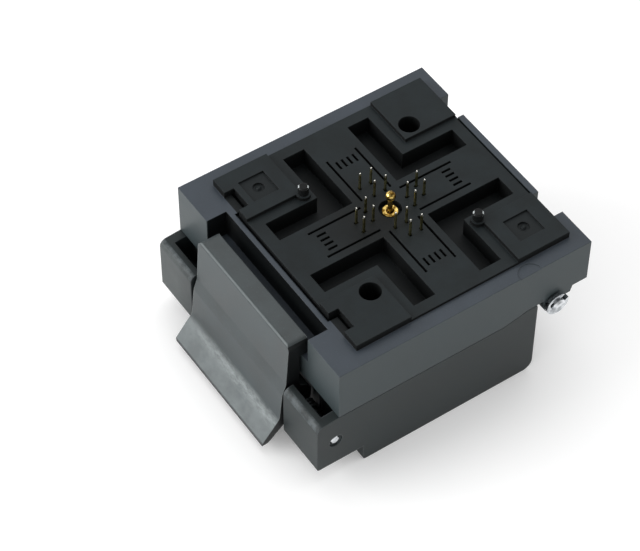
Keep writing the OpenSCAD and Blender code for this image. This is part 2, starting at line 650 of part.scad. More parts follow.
module hinge_pin() color("#c9ccd0") place() difference() {
    pin_with_chamfers(base_w / 2 + ring_gap + ring_t + pin_end, hinge_y, hinge_z, hinge_pin_d / 2, 0.2);
    both_sides() difference() {
        x_rod(base_w / 2 + ring_gap, base_w / 2 + ring_gap + ring_t, hinge_y, hinge_z, hinge_pin_d);
        x_rod(base_w / 2, base_w / 2 + ring_gap + 2 * ring_t, hinge_y, hinge_z, ring_groove_r);
    }
}
module hinge_spring() {
    path = torsion(hinge_spring_in, hinge_spring_out, hinge_spring_turns, hinge_spring_r, 270);
    lid_leg = [[hinge_spring_in, -hinge_leg_l, -hinge_spring_r]];
    base_leg = [[hinge_spring_out, -hinge_leg_l, hinge_spring_r]];
    translate([0, hinge_y, hinge_z]) wire(concat(lid_leg, path, base_leg), [1, 0, 0], hinge_wire_r);
}
module hinge_spring_right() color("#c4c8cc") place() hinge_spring();
module hinge_spring_left() color("#c4c8cc") place() mirror([1, 0, 0]) hinge_spring();

// Retaining rings: open rings that snap into the pin's grooves
module retaining_rings() color("#c9ccd0") place() both_sides()
    x_span(base_w / 2 + ring_gap, base_w / 2 + ring_gap + ring_t) translate([hinge_y, hinge_z]) difference() {
        circle(d = ring_d);
        circle(r = ring_groove_r);
        rotate(35) translate([0, -0.45]) square([ring_d, 0.9]);
        for (a = [155, 275]) rotate(a) translate([ring_groove_r + 0.1, 0]) circle(r = 0.35);
    }

base_housing();
contacts_left();
contacts_right();
contacts_latch_side();
contacts_hinge_side();
probe_barrel();
probe_board_plunger();
probe_chip_plunger();
probe_spring();
floating_nest();
nest_springs();
nest_screws();
lid_frame();
pressure_pad();
pad_screws();
pad_springs();
latch_lever();
latch_pin();
latch_spring_left();
latch_spring_right();
hinge_pin();
hinge_spring_left();
hinge_spring_right();
retaining_rings();
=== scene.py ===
import bpy
import bmesh
import math
from mathutils import Matrix, Vector


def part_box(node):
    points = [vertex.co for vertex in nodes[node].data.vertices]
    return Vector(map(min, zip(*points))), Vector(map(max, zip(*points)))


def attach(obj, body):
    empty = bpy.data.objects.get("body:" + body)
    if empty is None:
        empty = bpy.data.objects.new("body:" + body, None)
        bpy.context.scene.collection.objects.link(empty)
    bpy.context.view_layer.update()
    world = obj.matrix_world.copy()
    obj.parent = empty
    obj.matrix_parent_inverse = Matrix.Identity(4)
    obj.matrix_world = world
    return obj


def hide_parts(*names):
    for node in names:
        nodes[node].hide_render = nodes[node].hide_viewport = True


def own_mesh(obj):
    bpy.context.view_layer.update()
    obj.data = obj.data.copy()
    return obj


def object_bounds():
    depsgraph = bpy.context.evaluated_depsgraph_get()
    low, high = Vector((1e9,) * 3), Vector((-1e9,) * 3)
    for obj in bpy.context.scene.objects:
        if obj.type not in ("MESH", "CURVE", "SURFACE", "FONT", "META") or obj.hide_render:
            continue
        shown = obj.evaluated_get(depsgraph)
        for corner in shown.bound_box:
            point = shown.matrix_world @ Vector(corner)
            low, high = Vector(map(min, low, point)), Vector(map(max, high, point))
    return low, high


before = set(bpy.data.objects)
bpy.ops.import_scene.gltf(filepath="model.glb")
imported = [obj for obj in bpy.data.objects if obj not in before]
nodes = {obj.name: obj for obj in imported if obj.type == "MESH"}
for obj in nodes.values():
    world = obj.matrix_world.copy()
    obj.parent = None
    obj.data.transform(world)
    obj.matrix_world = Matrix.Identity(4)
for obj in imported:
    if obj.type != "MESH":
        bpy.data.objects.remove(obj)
cadLow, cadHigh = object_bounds()
scene = bpy.context.scene
mm = 0.001
print("socket frame loaded:", len(nodes), "nodes")


# sRGB hex, as a colour picker gives it, to the linear colour that the shaders take
def hexColour(text):
    values = [int(text[i:i + 2], 16) / 255 for i in (0, 2, 4)]
    return [v / 12.92 if v <= 0.04045 else ((v + 0.055) / 1.055) ** 2.4 for v in values] + [1.0]


def grey(v):
    return [v, v, v, 1.0]


def addNode(tree, kind, settings=None, **links):
    # settings go on the node or its inputs, and "stops" fills a colour ramp
    # a link is named for its input, or i0, i1 and so on by place; it is (node, output name) or a plain value
    node = tree.nodes.new("ShaderNode" + kind)
    for key, value in (settings or {}).items():
        if key == "stops":
            elements = node.color_ramp.elements
            while len(elements) < len(value):
                elements.new(0.5)
            for element, (place, colour) in zip(elements, value):
                element.position, element.color = place, colour
        elif key in node.inputs and not hasattr(node, key):
            node.inputs[key].default_value = value
        else:
            setattr(node, key, value)
    for key, source in links.items():
        byPlace = key[0] == "i" and key[1:].isdigit()
        target = node.inputs[int(key[1:]) if byPlace else key]
        if isinstance(source, tuple) and hasattr(source[0], "outputs"):
            tree.links.new(source[0].outputs[source[1]], target)
        else:
            target.default_value = source
    return node


def newMaterial(name):
    material = bpy.data.materials.new(name)
    material.use_nodes = True
    tree = material.node_tree
    tree.nodes.clear()
    shader = addNode(tree, "BsdfPrincipled")
    addNode(tree, "OutputMaterial", Surface=(shader, "BSDF"))
    return material, tree, shader


# Colours, gloss, mould texture, and edge wear with a painted edge highlight, of each moulded piece; lengths
# in mm
fibreSize = 0.35
mouldedFinish = {
    "base": dict(dark="353c43", light="3d444c", fleck="49515a", rough=0.46, roughSpread=0.10, gloss=0.30,
                 grain=0.16, grainDepth=0.010, flow=5.0, rubbedAndHighlight="4a5056", edgeWidth=0.10, edgeWearAndHighlight=0.5),
    "lid": dict(dark="1f2526", light="2a3132", fleck="2c3031", rough=0.50, roughSpread=0.10, gloss=0.30,
                grain=0.16, grainDepth=0.010, flow=5.0, rubbedAndHighlight="5c6062", edgeWidth=0.22, edgeWearAndHighlight=0.7),
    "latch": dict(dark="393e3f", light="454c4e", fleck="565d5e", rough=0.46, roughSpread=0.12, gloss=0.36,
                  grain=0.20, grainDepth=0.012, flow=4.0, rubbedAndHighlight="8b9292", edgeWidth=0.14, edgeWearAndHighlight=0.8),
    "nest": dict(dark="141718", light="1b1f20", fleck="26292b", rough=0.55, roughSpread=0.06, gloss=0.30,
                 grain=0.12, grainDepth=0.008, flow=4.0, rubbedAndHighlight="3a3f42", edgeWidth=0.06, edgeWearAndHighlight=0.4),
}


def mouldedPlastic(name, look):
    # Glass-filled high-temperature plastic, injection moulded: near black with a satin skin, cloudy where
    # the fibres come up, and a paler line along the edges: partly rubbed wear, partly a painted highlight
    material, tree, shader = newMaterial(name)
    place = addNode(tree, "TexCoord")
    cloud = addNode(tree, "TexNoise", dict(Scale=1 / (look["flow"] * mm), Detail=4.0, Roughness=0.6),
                    Vector=(place, "Object"))
    grain = addNode(tree, "TexNoise", dict(Scale=1 / (look["grain"] * mm), Detail=2.0, Roughness=0.5),
                    Vector=(place, "Object"))
    # glass fibres: specks of a third of a millimetre, coarser than the real 0.01 mm so that they show
    fibre = addNode(tree, "TexVoronoi", dict(Scale=1 / (fibreSize * mm), Randomness=1.0),
                    Vector=(place, "Object"))
    colour = addNode(tree, "ValToRGB",
                     dict(stops=[(0.3, hexColour(look["dark"])), (0.7, hexColour(look["light"]))]),
                     Fac=(cloud, "Fac"))
    fleck = addNode(tree, "ValToRGB", dict(stops=[(0.05, grey(0.35)), (0.22, grey(0.0))]),
                    Fac=(fibre, "Distance"))
    flecked = addNode(tree, "Mix", dict(data_type="RGBA"), i0=(fleck, "Color"), i6=(colour, "Color"),
                      i7=hexColour(look["fleck"]))
    rounded = addNode(tree, "Bevel", dict(samples=6, Radius=look["edgeWidth"] * mm))
    flatNormal = addNode(tree, "NewGeometry")
    turned = addNode(tree, "VectorMath", dict(operation="DOT_PRODUCT"), i0=(rounded, "Normal"),
                     i1=(flatNormal, "Normal"))
    # painted highlight: the paler edge colour also stands in for the light that the edges catch
    rubbedAndHighlight = addNode(tree, "ValToRGB", dict(stops=[(0.80, grey(look["edgeWearAndHighlight"])), (0.985, grey(0.0))]),
                     Fac=(turned, "Value"))
    edged = addNode(tree, "Mix", dict(data_type="RGBA"), i0=(rubbedAndHighlight, "Color"), i6=(flecked, "Result"),
                    i7=hexColour(look["rubbedAndHighlight"]))
    rough = addNode(tree, "MapRange", {"From Min": 0.3, "From Max": 0.7,
                                       "To Min": look["rough"] - look["roughSpread"] / 2,
                                       "To Max": look["rough"] + look["roughSpread"] / 2},
                    Value=(cloud, "Fac"))
    bump = addNode(tree, "Bump", dict(Strength=0.35, Distance=look["grainDepth"] * mm),
                   Height=(grain, "Fac"), Normal=(rounded, "Normal"))
    tree.links.new(edged.outputs["Result"], shader.inputs["Base Color"])
    tree.links.new(rough.outputs["Result"], shader.inputs["Roughness"])
    tree.links.new(bump.outputs["Normal"], shader.inputs["Normal"])
    # the fine mould texture swallows part of the gloss that such a plastic has when it is polished
    shader.inputs["IOR"].default_value = 1.5
    shader.inputs["Specular IOR Level"].default_value = look["gloss"]
    return material, tree, shader, place, edged, rough


# The raised middle of the base, inside the low rim, is darker and coarser than the rim. Its walls, the
# latch slot's walls and the pocket floors are painted darkest as painted shade, painted shade darkens
# the plateau round the contacts, and the pegs' rims carry a painted highlight at two sides. Lengths in
# mm: drop, pegTop and pegDepth go down from the peg tops, reach and pocketFrom down from the plateau,
# and markHeight up from it
plateauFinish = dict(dark="11181a", light="182124", deep="06090a", rough=0.62, cloud=3.0,
                     sideRim=1.65, latchRim=3.05, hingeRim=1.45, drop=1.45, reach=4.5,
                     slotHalf=9.0, slotFront=0.1, pocketFrom=0.15, pocketShade=0.65,
                     markHeight=0.15, markSpread=0.12, markShade=0.35, centre=6.0, centreShade=0.75,
                     pegTop=0.9, pegDepth=0.15, pegGlint="b4babb", pegGlintWay=(0.59, 0.81, 0.0), pegGlintFrom=0.66,
                     wallTint=[0.95, 1.0, 0.86, 1.0], slack=0.01)


def basePlastic():
    # The base's rim and walls are satin and a little paler; the textured plateau swallows more light
    material, tree, shader, place, edged, rough = mouldedPlastic("glassFilledPlasticMouldedBlack",
                                                                 mouldedFinish["base"])
    low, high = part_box("base_housing")
    plateauHeight = high.z - plateauFinish["drop"] * mm
    halfWidth = (high.x - low.x) / 2 - plateauFinish["sideRim"] * mm
    yLow, yHigh = low.y + plateauFinish["latchRim"] * mm, high.y - plateauFinish["hingeRim"] * mm
    slotFront = low.y + plateauFinish["slotFront"] * mm
    slack = plateauFinish["slack"] * mm
    at = addNode(tree, "SeparateXYZ", Vector=(place, "Object"))
    facing = addNode(tree, "SeparateXYZ", Vector=(place, "Normal"))
    across = addNode(tree, "Math", dict(operation="COMPARE"), i0=(at, "X"), i1=(low.x + high.x) / 2,
                     i2=halfWidth + slack)
    along = addNode(tree, "Math", dict(operation="COMPARE"), i0=(at, "Y"), i1=(yLow + yHigh) / 2,
                    i2=(yHigh - yLow) / 2 + slack)
    within = addNode(tree, "Math", dict(operation="MULTIPLY"), i0=(across, "Value"),
                     i1=(along, "Value"))
    upper = addNode(tree, "Math", dict(operation="GREATER_THAN"), i0=(at, "Z"),
                    i1=plateauHeight - plateauFinish["reach"] * mm)
    inside = addNode(tree, "Math", dict(operation="MULTIPLY"), i0=(within, "Value"),
                     i1=(upper, "Value"))
    wall = addNode(tree, "Math", dict(operation="COMPARE"), i0=(facing, "Z"), i1=0.0, i2=0.5)
    # painted shade: the walls inside the plateau, the latch slot's walls and the pocket floors are painted
    # dark
    innerWall = addNode(tree, "Math", dict(operation="MULTIPLY"), i0=(inside, "Value"),
                        i1=(wall, "Value"))
    slotAcross = addNode(tree, "Math", dict(operation="COMPARE"), i0=(at, "X"), i1=0.0,
                         i2=plateauFinish["slotHalf"] * mm)
    slotAlong = addNode(tree, "Math", dict(operation="COMPARE"), i0=(at, "Y"),
                        i1=(slotFront + yLow) / 2, i2=(yLow - slotFront) / 2)
    slot = addNode(tree, "Math", dict(operation="MULTIPLY"), i0=(slotAcross, "Value"),
                   i1=(slotAlong, "Value"))
    slotWall = addNode(tree, "Math", dict(operation="MULTIPLY"), i0=(slot, "Value"), i1=(wall, "Value"))
    deep = addNode(tree, "Math", dict(operation="LESS_THAN"), i0=(at, "Z"),
                   i1=plateauHeight - plateauFinish["pocketFrom"] * mm)
    pocket = addNode(tree, "Math", dict(operation="MULTIPLY"), i0=(inside, "Value"), i1=(deep, "Value"))
    pocketShade = addNode(tree, "Math", dict(operation="MULTIPLY"), i0=(pocket, "Value"),
                          i1=plateauFinish["pocketShade"])
    walls = addNode(tree, "Math", dict(operation="MAXIMUM"), i0=(innerWall, "Value"),
                    i1=(slotWall, "Value"))
    sunk = addNode(tree, "Math", dict(operation="MAXIMUM"), i0=(walls, "Value"),
                   i1=(pocketShade, "Value"))
    # the two square marks on the pads, and the pegs
    mark = addNode(tree, "Math", dict(operation="COMPARE"), i0=(at, "Z"),
                   i1=plateauHeight + plateauFinish["markHeight"] * mm,
                   i2=plateauFinish["markSpread"] * mm)
    markShade = addNode(tree, "Math", dict(operation="MULTIPLY"), i0=(mark, "Value"),
                        i1=plateauFinish["markShade"])
    peg = addNode(tree, "Math", dict(operation="GREATER_THAN"), i0=(at, "Z"),
                  i1=high.z - plateauFinish["pegTop"] * mm)
    proud = addNode(tree, "Math", dict(operation="MAXIMUM"), i0=(markShade, "Value"), i1=(peg, "Value"))
    # painted shade: the plateau is painted darkest round the contacts, and it pales over a few millimetres
    flat = addNode(tree, "Mapping", dict(Scale=(1, 1, 0)), Vector=(place, "Object"))
    fromCentre = addNode(tree, "VectorMath", dict(operation="LENGTH"), i0=(flat, "Vector"))
    centre = addNode(tree, "MapRange", {"From Min": plateauFinish["centre"] / 3 * mm,
                                        "From Max": plateauFinish["centre"] * mm,
                                        "To Min": plateauFinish["centreShade"], "To Max": 0.0},
                     Value=(fromCentre, "Value"))
    sunkOrMiddle = addNode(tree, "Math", dict(operation="MAXIMUM"), i0=(sunk, "Value"),
                           i1=(centre, "Result"))
    dark = addNode(tree, "Math", dict(operation="MAXIMUM"), i0=(sunkOrMiddle, "Value"),
                   i1=(proud, "Value"))
    # painted highlight: the pegs' chamfers are painted pale at two sides
    pegTop = addNode(tree, "Math", dict(operation="GREATER_THAN"), i0=(at, "Z"),
                     i1=high.z - plateauFinish["pegDepth"] * mm)
    sideways = addNode(tree, "VectorMath", dict(operation="DOT_PRODUCT"), i0=(place, "Normal"),
                       i1=plateauFinish["pegGlintWay"])
    twoSides = addNode(tree, "Math", dict(operation="ABSOLUTE"), i0=(sideways, "Value"))
    pegGlintSide = addNode(tree, "Math", dict(operation="GREATER_THAN"), i0=(twoSides, "Value"),
                       i1=plateauFinish["pegGlintFrom"])
    pegGlint = addNode(tree, "Math", dict(operation="MULTIPLY"), i0=(pegTop, "Value"),
                   i1=(pegGlintSide, "Value"))
    cloud = addNode(tree, "TexNoise",
                    dict(Scale=1 / (plateauFinish["cloud"] * mm), Detail=5.0, Roughness=0.65),
                    Vector=(place, "Object"))
    colour = addNode(tree, "ValToRGB", dict(stops=[(0.3, hexColour(plateauFinish["dark"])),
                                                   (0.7, hexColour(plateauFinish["light"]))]),
                     Fac=(cloud, "Fac"))
    # the side walls are a little less blue than the rim
    rimOrWall = addNode(tree, "Mix", dict(data_type="RGBA", blend_type="MULTIPLY"), i0=(wall, "Value"),
                        i6=(edged, "Result"), i7=plateauFinish["wallTint"])
    mixed = addNode(tree, "Mix", dict(data_type="RGBA"), i0=(inside, "Value"), i6=(rimOrWall, "Result"),
                    i7=(colour, "Color"))
    shaded = addNode(tree, "Mix", dict(data_type="RGBA"), i0=(dark, "Value"), i6=(mixed, "Result"),
                     i7=hexColour(plateauFinish["deep"]))
    pegGlinted = addNode(tree, "Mix", dict(data_type="RGBA"), i0=(pegGlint, "Value"), i6=(shaded, "Result"),
                     i7=hexColour(plateauFinish["pegGlint"]))
    roughMixed = addNode(tree, "Mix", dict(data_type="FLOAT"), i0=(inside, "Value"),
                         i2=(rough, "Result"), i3=plateauFinish["rough"])
    tree.links.new(pegGlinted.outputs["Result"], shader.inputs["Base Color"])
    tree.links.new(roughMixed.outputs["Result"], shader.inputs["Roughness"])
    return material


# The lid's arms are scuffed along their rounded outer edge, beside the latch lever, and the left arm's
# front carries painted light, paler towards the left; light places in mm from the middle
lidWearAndLight = dict(scuff="60676a", patch=1.0, strength=0.6,
               leftLight="4c5151", leftLightShare=0.6, leftLightFrom=-8.0, leftLightFull=-11.0)


def lidPlastic():
    # The same plastic as the base, a shade darker and greener
    material, tree, shader, place, edged, rough = mouldedPlastic("glassFilledPlasticMouldedLid",
                                                                 mouldedFinish["lid"])
    facing = addNode(tree, "SeparateXYZ", Vector=(place, "Normal"))
    outward = addNode(tree, "Math", dict(operation="COMPARE"), i0=(facing, "Y"), i1=-0.6, i2=0.35)
    upward = addNode(tree, "Math", dict(operation="COMPARE"), i0=(facing, "Z"), i1=0.6, i2=0.35)
    edge = addNode(tree, "Math", dict(operation="MULTIPLY"), i0=(outward, "Value"),
                   i1=(upward, "Value"))
    patches = addNode(tree, "TexNoise",
                      dict(Scale=1 / (lidWearAndLight["patch"] * mm), Detail=5.0, Roughness=0.7),
                      Vector=(place, "Object"))
    patchy = addNode(tree, "ValToRGB",
                     dict(stops=[(0.42, grey(0.05)), (0.62, grey(lidWearAndLight["strength"]))]),
                     Fac=(patches, "Fac"))
    scuffed = addNode(tree, "Math", dict(operation="MULTIPLY"), i0=(edge, "Value"),
                      i1=(patchy, "Color"))
    worn = addNode(tree, "Mix", dict(data_type="RGBA"), i0=(scuffed, "Value"), i6=(edged, "Result"),
                   i7=hexColour(lidWearAndLight["scuff"]))
    at = addNode(tree, "SeparateXYZ", Vector=(place, "Object"))
    # painted light: the front faces are painted paler towards the left, where more light falls
    front = addNode(tree, "Math", dict(operation="LESS_THAN"), i0=(facing, "Y"), i1=-0.8)
    left = addNode(tree, "MapRange",
                   {"From Min": lidWearAndLight["leftLightFrom"] * mm, "From Max": lidWearAndLight["leftLightFull"] * mm,
                    "To Min": 0.0, "To Max": lidWearAndLight["leftLightShare"]}, Value=(at, "X"))
    leftLit = addNode(tree, "Math", dict(operation="MULTIPLY"), i0=(front, "Value"),
                      i1=(left, "Result"))
    paler = addNode(tree, "Mix", dict(data_type="RGBA"), i0=(leftLit, "Value"), i6=(worn, "Result"),
                    i7=hexColour(lidWearAndLight["leftLight"]))
    tree.links.new(paler.outputs["Result"], shader.inputs["Base Color"])
    return material


# Wear and painted light of the latch lever: a rubbed line along its top edge that is also a painted
# highlight, scuffs at the bend of the thumb tab, a cloudy tab, and painted shade on the end faces and
# the tab's lowest band; heights in mm above the floor, thumb places in mm from the middle
latchWearAndLight = dict(scuff="8f9696", tab="697071", end="101314", tip="14181a", topLine="596061",
                 bendHeight=3.30, bendSpread=0.70, tabTop=3.75, tabFade=0.35, tipHeight=1.35, tipFade=0.1,
                 topFrom=12.0, scratch=0.45, patch=2.2, thumbFrom=-7.0, thumbFull=-1.0, thumbLeast=0.25)


def latchPlastic():
    # The same plastic, worn grey where a thumb pushes it
    material, tree, shader, place, edged, rough = mouldedPlastic("glassFilledPlasticMouldedScuffed",
                                                                 mouldedFinish["latch"])
    at = addNode(tree, "SeparateXYZ", Vector=(place, "Object"))
    facing = addNode(tree, "SeparateXYZ", Vector=(place, "Normal"))
    height = addNode(tree, "Math", dict(operation="SUBTRACT"), i0=(at, "Z"),
                     i1=latchWearAndLight["bendHeight"] * mm)
    away = addNode(tree, "Math", dict(operation="ABSOLUTE"), i0=(height, "Value"))
    stretched = addNode(tree, "Mapping", dict(Scale=(0.4, 1, 1)), Vector=(place, "Object"))
    scuffs = addNode(tree, "TexNoise",
                     dict(Scale=1 / (latchWearAndLight["scratch"] * mm), Detail=6.0, Roughness=0.75),
                     Vector=(stretched, "Vector"))
    patches = addNode(tree, "TexNoise",
                      dict(Scale=1 / (latchWearAndLight["patch"] * mm), Detail=3.0, Roughness=0.6),
                      Vector=(place, "Object"))
    band = addNode(tree, "MapRange", {"From Min": 0.0, "From Max": latchWearAndLight["bendSpread"] * mm,
                                      "To Min": 1.0, "To Max": 0.0}, Value=(away, "Value"))
    patchy = addNode(tree, "ValToRGB", dict(stops=[(0.38, grey(0.0)), (0.66, grey(1.0))]),
                     Fac=(scuffs, "Fac"))
    thumbed = addNode(tree, "MapRange",
                      {"From Min": latchWearAndLight["thumbFrom"] * mm, "From Max": latchWearAndLight["thumbFull"] * mm,
                       "To Min": latchWearAndLight["thumbLeast"], "To Max": 1.0}, Value=(at, "X"))
    bend = addNode(tree, "Math", dict(operation="MULTIPLY"), i0=(band, "Result"), i1=(patchy, "Color"))
    onBend = addNode(tree, "Math", dict(operation="MULTIPLY"), i0=(bend, "Value"),
                     i1=(thumbed, "Result"))
    onTab = addNode(tree, "MapRange", {"From Min": latchWearAndLight["tabTop"] * mm,
                                       "From Max": (latchWearAndLight["tabTop"] - latchWearAndLight["tabFade"]) * mm,
                                       "To Min": 0.0, "To Max": 1.0}, Value=(at, "Z"))
    # painted shade: the tab's lowest band, just above the floor, is painted near black
    aboveTip = addNode(tree, "MapRange",
                       {"From Min": (latchWearAndLight["tipHeight"] - latchWearAndLight["tipFade"]) * mm,
                        "From Max": (latchWearAndLight["tipHeight"] + latchWearAndLight["tipFade"]) * mm,
                        "To Min": 0.0, "To Max": 1.0}, Value=(at, "Z"))
    tabFace = addNode(tree, "Math", dict(operation="MULTIPLY"), i0=(onTab, "Result"),
                      i1=(aboveTip, "Result"))
    tipped = addNode(tree, "Mix", dict(data_type="RGBA"), i0=(aboveTip, "Result"),
                     i6=hexColour(latchWearAndLight["tip"]), i7=(edged, "Result"))
    clouded = addNode(tree, "MapRange",
                      {"From Min": 0.35, "From Max": 0.65, "To Min": 0.55, "To Max": 1.0},
                      Value=(patches, "Fac"))
    tabPatch = addNode(tree, "Math", dict(operation="MULTIPLY"), i0=(tabFace, "Value"),
                       i1=(clouded, "Result"))
    paler = addNode(tree, "Mix", dict(data_type="RGBA"), i0=(tabPatch, "Value"), i6=(tipped, "Result"),
                    i7=hexColour(latchWearAndLight["tab"]))
    worn = addNode(tree, "Mix", dict(data_type="RGBA"), i0=(onBend, "Value"), i6=(paler, "Result"),
                   i7=hexColour(latchWearAndLight["scuff"]))
    # the rounded top edge, which the fingers rub; its paler line is partly rubbed wear, partly a painted
    # highlight
    outward = addNode(tree, "Math", dict(operation="COMPARE"), i0=(facing, "Y"), i1=-0.7, i2=0.15)
    upward = addNode(tree, "Math", dict(operation="COMPARE"), i0=(facing, "Z"), i1=0.7, i2=0.15)
    corner = addNode(tree, "Math", dict(operation="MULTIPLY"), i0=(outward, "Value"),
                     i1=(upward, "Value"))
    top = addNode(tree, "Math", dict(operation="GREATER_THAN"), i0=(at, "Z"),
                  i1=latchWearAndLight["topFrom"] * mm)
    topEdge = addNode(tree, "Math", dict(operation="MULTIPLY"), i0=(corner, "Value"), i1=(top, "Value"))
    lined = addNode(tree, "Mix", dict(data_type="RGBA"), i0=(topEdge, "Value"), i6=(worn, "Result"),
                    i7=hexColour(latchWearAndLight["topLine"]))
    # painted shade: the lever's two end faces are painted dark
    sideways = addNode(tree, "Math", dict(operation="ABSOLUTE"), i0=(facing, "X"))
    end = addNode(tree, "Math", dict(operation="GREATER_THAN"), i0=(sideways, "Value"), i1=0.7)
    ended = addNode(tree, "Mix", dict(data_type="RGBA"), i0=(end, "Value"), i6=(lined, "Result"),
                    i7=hexColour(latchWearAndLight["end"]))
    tree.links.new(ended.outputs["Result"], shader.inputs["Base Color"])
    return material


# Colours, roughness, marks and tarnish of each metal; lengths in mm
metalFinish = {
    # gold-plated copper strip, stamped: pale thin gold with dull streaks down the legs
    "contact": dict(dark="7c7748", light="b4ad78", rough=0.30, spread=0.10, line=0.06, tarnish=0.5,
                    depth=0.004, tip="f6f4ea", tipLength=0.22),
    # gold-plated brass, turned: deep yellow, browner in the hollows
    "probe": dict(dark="6a4f1a", light="fbd97f", rough=0.30, spread=0.10, line=0.05,
                  tarnish=0.55, depth=0.003),
    # stainless spring wire, drawn: mid grey with a soft sheen
    "wire": dict(dark="6d7175", light="a2a5a8", rough=0.34, spread=0.12, line=0.05,
                 tarnish=0.8, depth=0.003),
    # stainless steel, turned: pale grey with fine tool marks
    "turned": dict(dark="8f9499", light="c9cdd1", rough=0.32, spread=0.10, line=0.05,
                   tarnish=0.6, depth=0.003),
    # stainless steel, ground: the brightest and smoothest, as on bought dowel pins
    "ground": dict(dark="a5a9ad", light="dfe2e5", rough=0.22, spread=0.12, line=0.05,
                   tarnish=0.8, depth=0.002),
}


def platedMetal(name, look, along=(1, 1, 1), tipFrom=None):
    # Plated or bare metal: marks a few hundredths of a millimetre wide, stretched or packed along the
    # way that it was worked, and faint uneven tarnish
    material, tree, shader = newMaterial(name)
    place = addNode(tree, "TexCoord")
    stretch = addNode(tree, "Mapping", dict(Scale=along), Vector=(place, "Object"))
    marks = addNode(tree, "TexNoise", dict(Scale=1 / (look["line"] * mm), Detail=3.0),
                    Vector=(stretch, "Vector"))
    tarnish = addNode(tree, "TexNoise", dict(Scale=1 / (look["tarnish"] * mm), Detail=3.0),
                      Vector=(place, "Object"))
    colour = addNode(tree, "ValToRGB",
                     dict(stops=[(0.40, hexColour(look["dark"])), (0.56, hexColour(look["light"]))]),
                     Fac=(tarnish, "Fac"))
    rough = addNode(tree, "MapRange",
                    {"From Min": 0.3, "From Max": 0.7, "To Min": look["rough"] - look["spread"] / 2,
                     "To Max": look["rough"] + look["spread"] / 2}, Value=(marks, "Fac"))
    bump = addNode(tree, "Bump", dict(Strength=0.4, Distance=look["depth"] * mm), Height=(marks, "Fac"))
    finished = (colour, "Color")
    if tipFrom:
        # painted highlight: the ends above this height are coloured near white for the bright dots on the
        # tips
        at = addNode(tree, "SeparateXYZ", Vector=(place, "Object"))
        ended = addNode(tree, "Math", dict(operation="GREATER_THAN"), i0=(at, "Z"), i1=tipFrom)
        bright = addNode(tree, "Mix", dict(data_type="RGBA"), i0=(ended, "Value"), i6=finished,
                         i7=hexColour(look["tip"]))
        finished = (bright, "Result")
    tree.links.new(finished[0].outputs[finished[1]], shader.inputs["Base Color"])
    tree.links.new(rough.outputs["Result"], shader.inputs["Roughness"])
    tree.links.new(bump.outputs["Normal"], shader.inputs["Normal"])
    shader.inputs["Metallic"].default_value = 1.0
    return material


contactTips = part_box("contacts_left")[1].z - metalFinish["contact"]["tipLength"] * mm
finishes = {
    "base": basePlastic(),
    "lid": lidPlastic(),
    "latch": latchPlastic(),
    "nest": mouldedPlastic("fineMouldedPlasticNest", mouldedFinish["nest"])[0],
    "contact": platedMetal("goldPlatedCopperStrip", metalFinish["contact"], (1, 1, 0.15), contactTips),
    "probe": platedMetal("goldPlatedBrassTurned", metalFinish["probe"], (1, 1, 4)),
    "wire": platedMetal("stainlessWireDrawn", metalFinish["wire"]),
    "turned": platedMetal("stainlessSteelTurned", metalFinish["turned"], (4, 1, 1)),
    "ground": platedMetal("stainlessSteelGround", metalFinish["ground"], (4, 1, 1)),
}

nodesIn = {
    "base": ["base_housing"],
    "lid": ["lid_frame"],
    "latch": ["latch_lever"],
    "nest": ["floating_nest", "pressure_pad"],
    "contact": ["contacts_left", "contacts_right", "contacts_latch_side", "contacts_hinge_side"],
    "probe": ["probe_barrel", "probe_board_plunger", "probe_chip_plunger"],
    "wire": ["probe_spring", "nest_springs", "pad_springs", "latch_spring_left", "latch_spring_right",
             "hinge_spring_left", "hinge_spring_right"],
    "turned": ["nest_screws", "pad_screws"],
    "ground": ["latch_pin", "hinge_pin", "retaining_rings"],
}
for finish, nodeNames in nodesIn.items():
    for nodeName in nodeNames:
        mesh = nodes[nodeName].data
        mesh.materials.clear()
        mesh.materials.append(finishes[finish])
print("finishes on", sum(len(nodeNames) for nodeNames in nodesIn.values()), "nodes")

# Round-wire springs with closed ends; lengths in mm. Each takes its place from its CAD node's box.
# "held" is the end that stays still, and "span" the share of the node's height that the piece takes
padSpring = dict(node="pad_springs", body="lid", joint="pad_press", diameter=2.6, wire=0.36, turns=4.5,
                 held="low", travel=0.6, span=(0.0, 1.0))
nestSpring = dict(node="nest_springs", body="base", joint="nest_float", diameter=1.12, wire=0.20, turns=6.5,
                  held="high", travel=0.4, span=(0.0, 1.0))
# the probe's one spring is pressed from both ends, so it is two halves that meet in the middle
probeSpring = dict(node="probe_spring", body="base", side=(0, 0), diameter=0.62, wire=0.12, turns=5.5)
springs = {
    "padSpringLeft": dict(padSpring, side=(-1, 0)),
    "padSpringRight": dict(padSpring, side=(1, 0)),
    "nestSpringLatchLeft": dict(nestSpring, side=(-1, -1)),
    "nestSpringLatchRight": dict(nestSpring, side=(1, -1)),
    "nestSpringHingeLeft": dict(nestSpring, side=(-1, 1)),
    "nestSpringHingeRight": dict(nestSpring, side=(1, 1)),
    "probeSpringBoardEnd": dict(probeSpring, joint="board_plunger_press", held="low", travel=1.0,
                                span=(0.5, 1.0)),
    "probeSpringChipEnd": dict(probeSpring, joint="chip_plunger_press", held="high", travel=0.4,
                               span=(0.0, 0.5)),
}
# steps in a turn, sides of the wire, and how much of a turn is closed at each end
springMesh = dict(steps=20, sides=8, closed=0.9)


